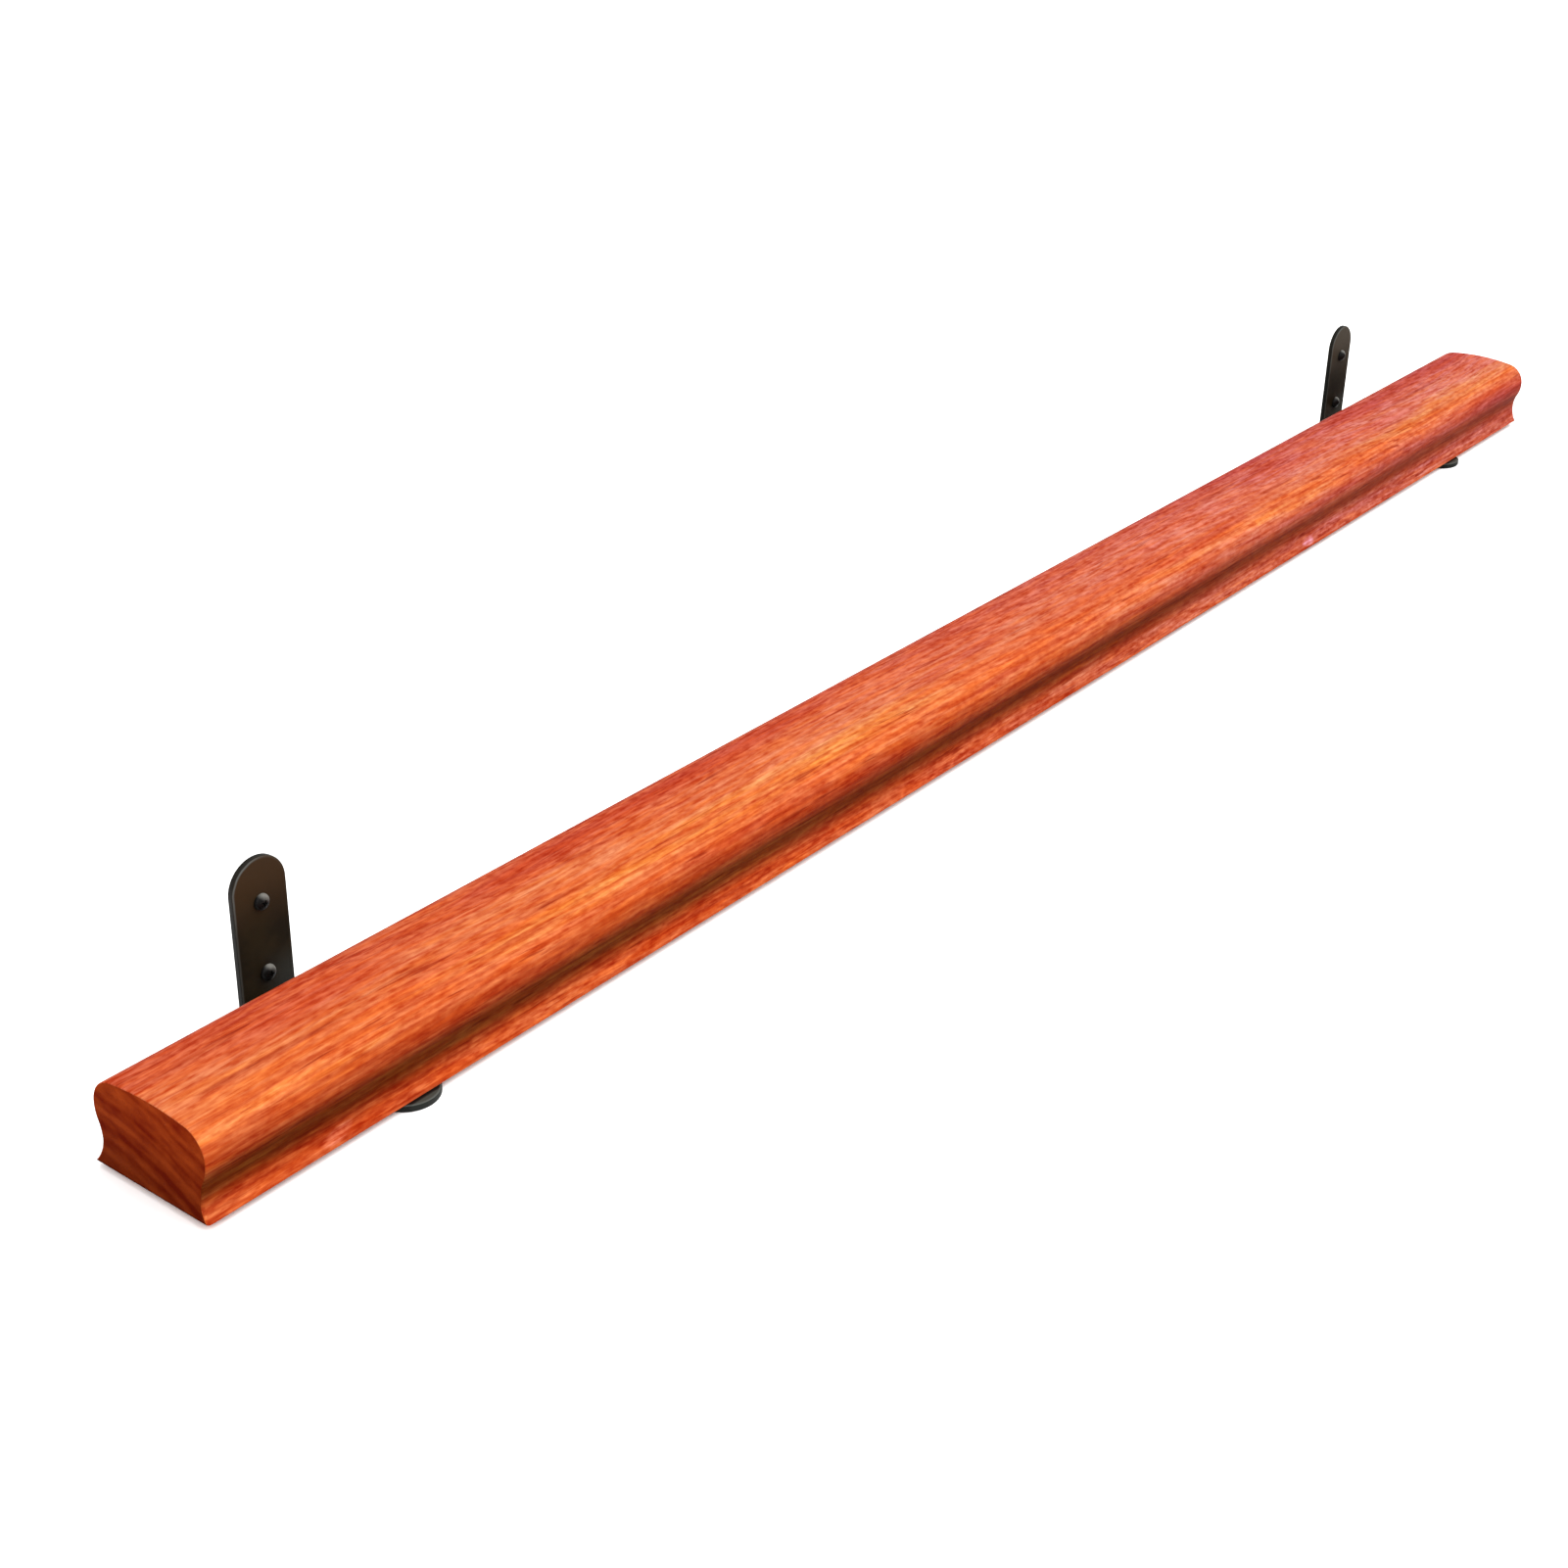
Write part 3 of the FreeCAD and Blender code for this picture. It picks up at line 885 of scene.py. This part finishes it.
def screwBody(shape, run):
    # Y axis: seat at 0, head towards -Y, shank towards +Y
    steps = shape["segments"]
    headRadius = shape["headDiameter"] / 2
    inset, lift = shape["seatEasing"]
    crown = shape["headHeight"] - shape["headRim"]
    profile = [(shape["shank"] / 2 * shape["neckShare"], 0.0), (headRadius - inset, 0.0),
               (headRadius, -lift), (headRadius, -shape["headRim"])]
    for step in range(1, shape["crownSteps"]):
        turn = math.pi / 2 * step / shape["crownSteps"]
        profile.append((headRadius * math.cos(turn), -shape["headRim"] - crown * math.sin(turn)))
    bm = bmesh.new()
    turns = [2 * math.pi * step / steps for step in range(steps)]

    def ring(y, radii):
        return [bm.verts.new((radius * math.cos(turn), y, radius * math.sin(turn)))
                for radius, turn in zip(radii, turns)]

    def threadRadius(y, turn):
        phase = (y / shape["pitch"] - turn / (2 * math.pi)) % 1.0
        ridge = max(0.0, 1.0 - abs(phase - 0.5) * shape["ridgeSlope"])
        return shape["core"] / 2 + (shape["shank"] - shape["core"]) / 2 * ridge

    head = [ring(y, [radius] * steps) for radius, y in profile]
    top = bm.verts.new((0.0, -shape["headHeight"], 0.0))
    for index in range(steps):
        bm.faces.new((head[-1][index], head[-1][(index + 1) % steps], top))
    shank = [head[0]]
    for row in range(1, shape["threadRows"] + 1):
        y = run * row / shape["threadRows"]
        shank.append(ring(y, [threadRadius(y, turn) for turn in turns]))
    for loops in (head, shank):
        for first, second in zip(loops, loops[1:]):
            joinLoops(bm, first, second)
    bm.faces.new(shank[-1])
    return bm


def crossCutter(shape):
    bm = bmesh.new()
    thin = shape["slot"] / 2

    def loop(arm, y):
        made = []
        for quarter in range(4):
            spin = Matrix.Rotation(math.pi / 2 * quarter, 2)
            for corner in ((arm, -thin), (arm, thin), (thin, thin)):
                flat = spin @ Vector(corner)
                made.append(bm.verts.new((flat.x, y, flat.y)))
        return made

    reach = shape["slotSpan"] / 2
    upper = loop(reach * shape["slotFlare"], -shape["headHeight"] - shape["cutterOver"])
    lower = loop(reach * shape["slotFloor"], -shape["headHeight"] + shape["slotDepth"])
    joinLoops(bm, upper, lower)
    bm.faces.new(upper)
    bm.faces.new(lower)
    return bm


def screwMesh(shape, run):
    blank = bpy.data.objects.new("screwBlank", meshFrom(screwBody(shape, run), "wallScrew"))
    cutter = bpy.data.objects.new("crossCutter", meshFrom(crossCutter(shape), "crossCutter"))
    for item in (blank, cutter):
        bpy.context.scene.collection.objects.link(item)
    cut = blank.modifiers.new("recess", "BOOLEAN")
    cut.operation = "DIFFERENCE"
    cut.object = cutter
    cut.solver = "EXACT"
    bpy.context.view_layer.update()
    finished = bpy.data.meshes.new_from_object(blank.evaluated_get(bpy.context.evaluated_depsgraph_get()))
    for item in (blank, cutter):
        bpy.data.objects.remove(item)
    smoothOver(finished, shape["sharpFrom"])
    return finished


def screwSteel(steel):
    desk = NodeDesk("screwBlack")
    place = desk.place()
    grain = desk.noise(place, *steel["grainField"])
    cloud = desk.noise(place, *steel["cloudField"])
    # painted highlight towards the upper right of the head
    turned = desk.nudge(desk.attribute("headUp"), cloud, steel["highlightSwing"])
    base = desk.mix(desk.spread(turned, *steel["highlightFrom"]), steel["black"], steel["paintedHighlight"])
    desk.surface(Base_Color=base, Roughness=desk.spread(grain, *steel["roughness"]),
                 Normal=desk.bump(grain, *steel["bump"]), Specular_IOR_Level=steel["specular"])
    return desk.material


screwFinish = screwSteel(wallScrew["steel"])
barThickness = wallBracket["shape"]["thickness"]
shankRun = barThickness - wallScrew["shape"]["shortOfWall"]
headRadius = wallScrew["shape"]["headDiameter"] / 2
aimRight, aimUp = wallScrew["steel"]["highlightAim"]
for side, mount in wallHoles.items():
    x, wallFace, middle = mount["pos_m"]
    for row, share in (("lower", -0.5), ("upper", 0.5)):
        spot = Vector((x, wallFace - barThickness, middle + share * mount["dims"]["spacing_y_mm"] * mm))
        mesh = screwMesh(wallScrew["shape"], shankRun)
        mesh.transform(Matrix.Rotation(math.radians(wallScrew["drive"][side][row]), 4, "Y"))
        headUp = [(aimUp * vert.co.z + aimRight * vert.co.x) / headRadius for vert in mesh.vertices]
        mesh.attributes.new("headUp", "FLOAT", "POINT").data.foreach_set("value", headUp)
        mesh.transform(Matrix.Translation(spot))
        makePiece(f"wallScrew_{side}_{row}", mesh, "screw_steel", screwFinish)
for name, node in frame["nodes"].items():
    if name.startswith("rail_screw"):
        node.material_slots[0].material = screwFinish
print("screws done")


# floor, light and camera

studio = {
    "floor": (0.92, 0.919, 0.915),
    "floorFade": 0.985,                         # its soft clouds, as a share of that
    "floorField": (1.3, 2.0, 0.5),
    "floorRough": 0.9,
    "floorSpecular": 0.2,
    "floorReach": 6.0,
    "sky": 0.64,
    "lightSpread": 72.0,                        # degrees across, broad soft sources
    "lightAway": 3.0,
    "lights": {                                 # strength, and the side it stands on
        "softKey": (4.05, (0.60, -0.52, 1.0)),
        "softFill": (2.2, (-0.80, -0.30, 1.0)),
    },
    "camera": {
        "imageWidth": 1601,                     # pixels, square
        "focalPixels": 2450.5,
        "sensorWidth": 36.0,
        "pitch": 27.524,                        # degrees below the horizon
        "yaw": 37.558,                          # from +X towards +Y
        "roll": 1.075,
        "at": (-1034.35 * mm, -642.91 * mm, 561.96 * mm),
        "seesTo": 50.0,
    },
}


def addFloor(look):
    desk = NodeDesk("studioFloor")
    soft = desk.noise(desk.place(), *look["floorField"])
    clouds = [part * look["floorFade"] for part in look["floor"]]
    desk.surface(Base_Color=desk.mix(soft, clouds, look["floor"]), Roughness=look["floorRough"],
                 Specular_IOR_Level=look["floorSpecular"])
    reach = look["floorReach"]
    corners = [(-reach, -reach, 0.0), (reach, -reach, 0.0), (reach, reach, 0.0), (-reach, reach, 0.0)]
    mesh = bpy.data.meshes.new("studioFloor")
    mesh.from_pydata(corners, [], [(0, 1, 2, 3)])
    mesh.materials.append(desk.material)
    floor = bpy.data.objects.new("studioFloor", mesh)
    bpy.context.scene.collection.objects.link(floor)


def addLights(look):
    for name, (strength, stand) in look["lights"].items():
        data = bpy.data.lights.new(name, "SUN")
        data.energy = strength
        data.angle = math.radians(look["lightSpread"])
        item = bpy.data.objects.new(name, data)
        item.location = Vector(stand) * look["lightAway"]
        item.rotation_euler = (-item.location).to_track_quat("-Z", "Y").to_euler()
        bpy.context.scene.collection.objects.link(item)
    world = bpy.data.worlds.new("studioSky")
    world.use_nodes = True
    background = world.node_tree.nodes["Background"]
    background.inputs["Color"].default_value = (1.0, 1.0, 1.0, 1.0)
    background.inputs["Strength"].default_value = look["sky"]
    bpy.context.scene.world = world
    bpy.context.scene.view_settings.view_transform = "Standard"


def addCamera(fit):
    pitch, yaw, roll = (math.radians(fit[key]) for key in ("pitch", "yaw", "roll"))
    forward = Vector((math.cos(pitch) * math.cos(yaw), math.cos(pitch) * math.sin(yaw), -math.sin(pitch)))
    level = Vector((math.sin(yaw), -math.cos(yaw), 0.0))
    upright = level.cross(forward)
    right = math.cos(roll) * level + math.sin(roll) * upright
    up = math.cos(roll) * upright - math.sin(roll) * level
    data = bpy.data.cameras.new("photoCamera")
    data.sensor_width = fit["sensorWidth"]
    data.lens = fit["sensorWidth"] * fit["focalPixels"] / fit["imageWidth"]
    data.clip_end = fit["seesTo"]
    item = bpy.data.objects.new("photoCamera", data)
    item.matrix_world = Matrix.Translation(fit["at"]) @ Matrix((right, up, -forward)).transposed().to_4x4()
    bpy.context.scene.collection.objects.link(item)
    bpy.context.scene.camera = item


addFloor(studio)
addLights(studio)
addCamera(studio["camera"])
print("stage and camera done")
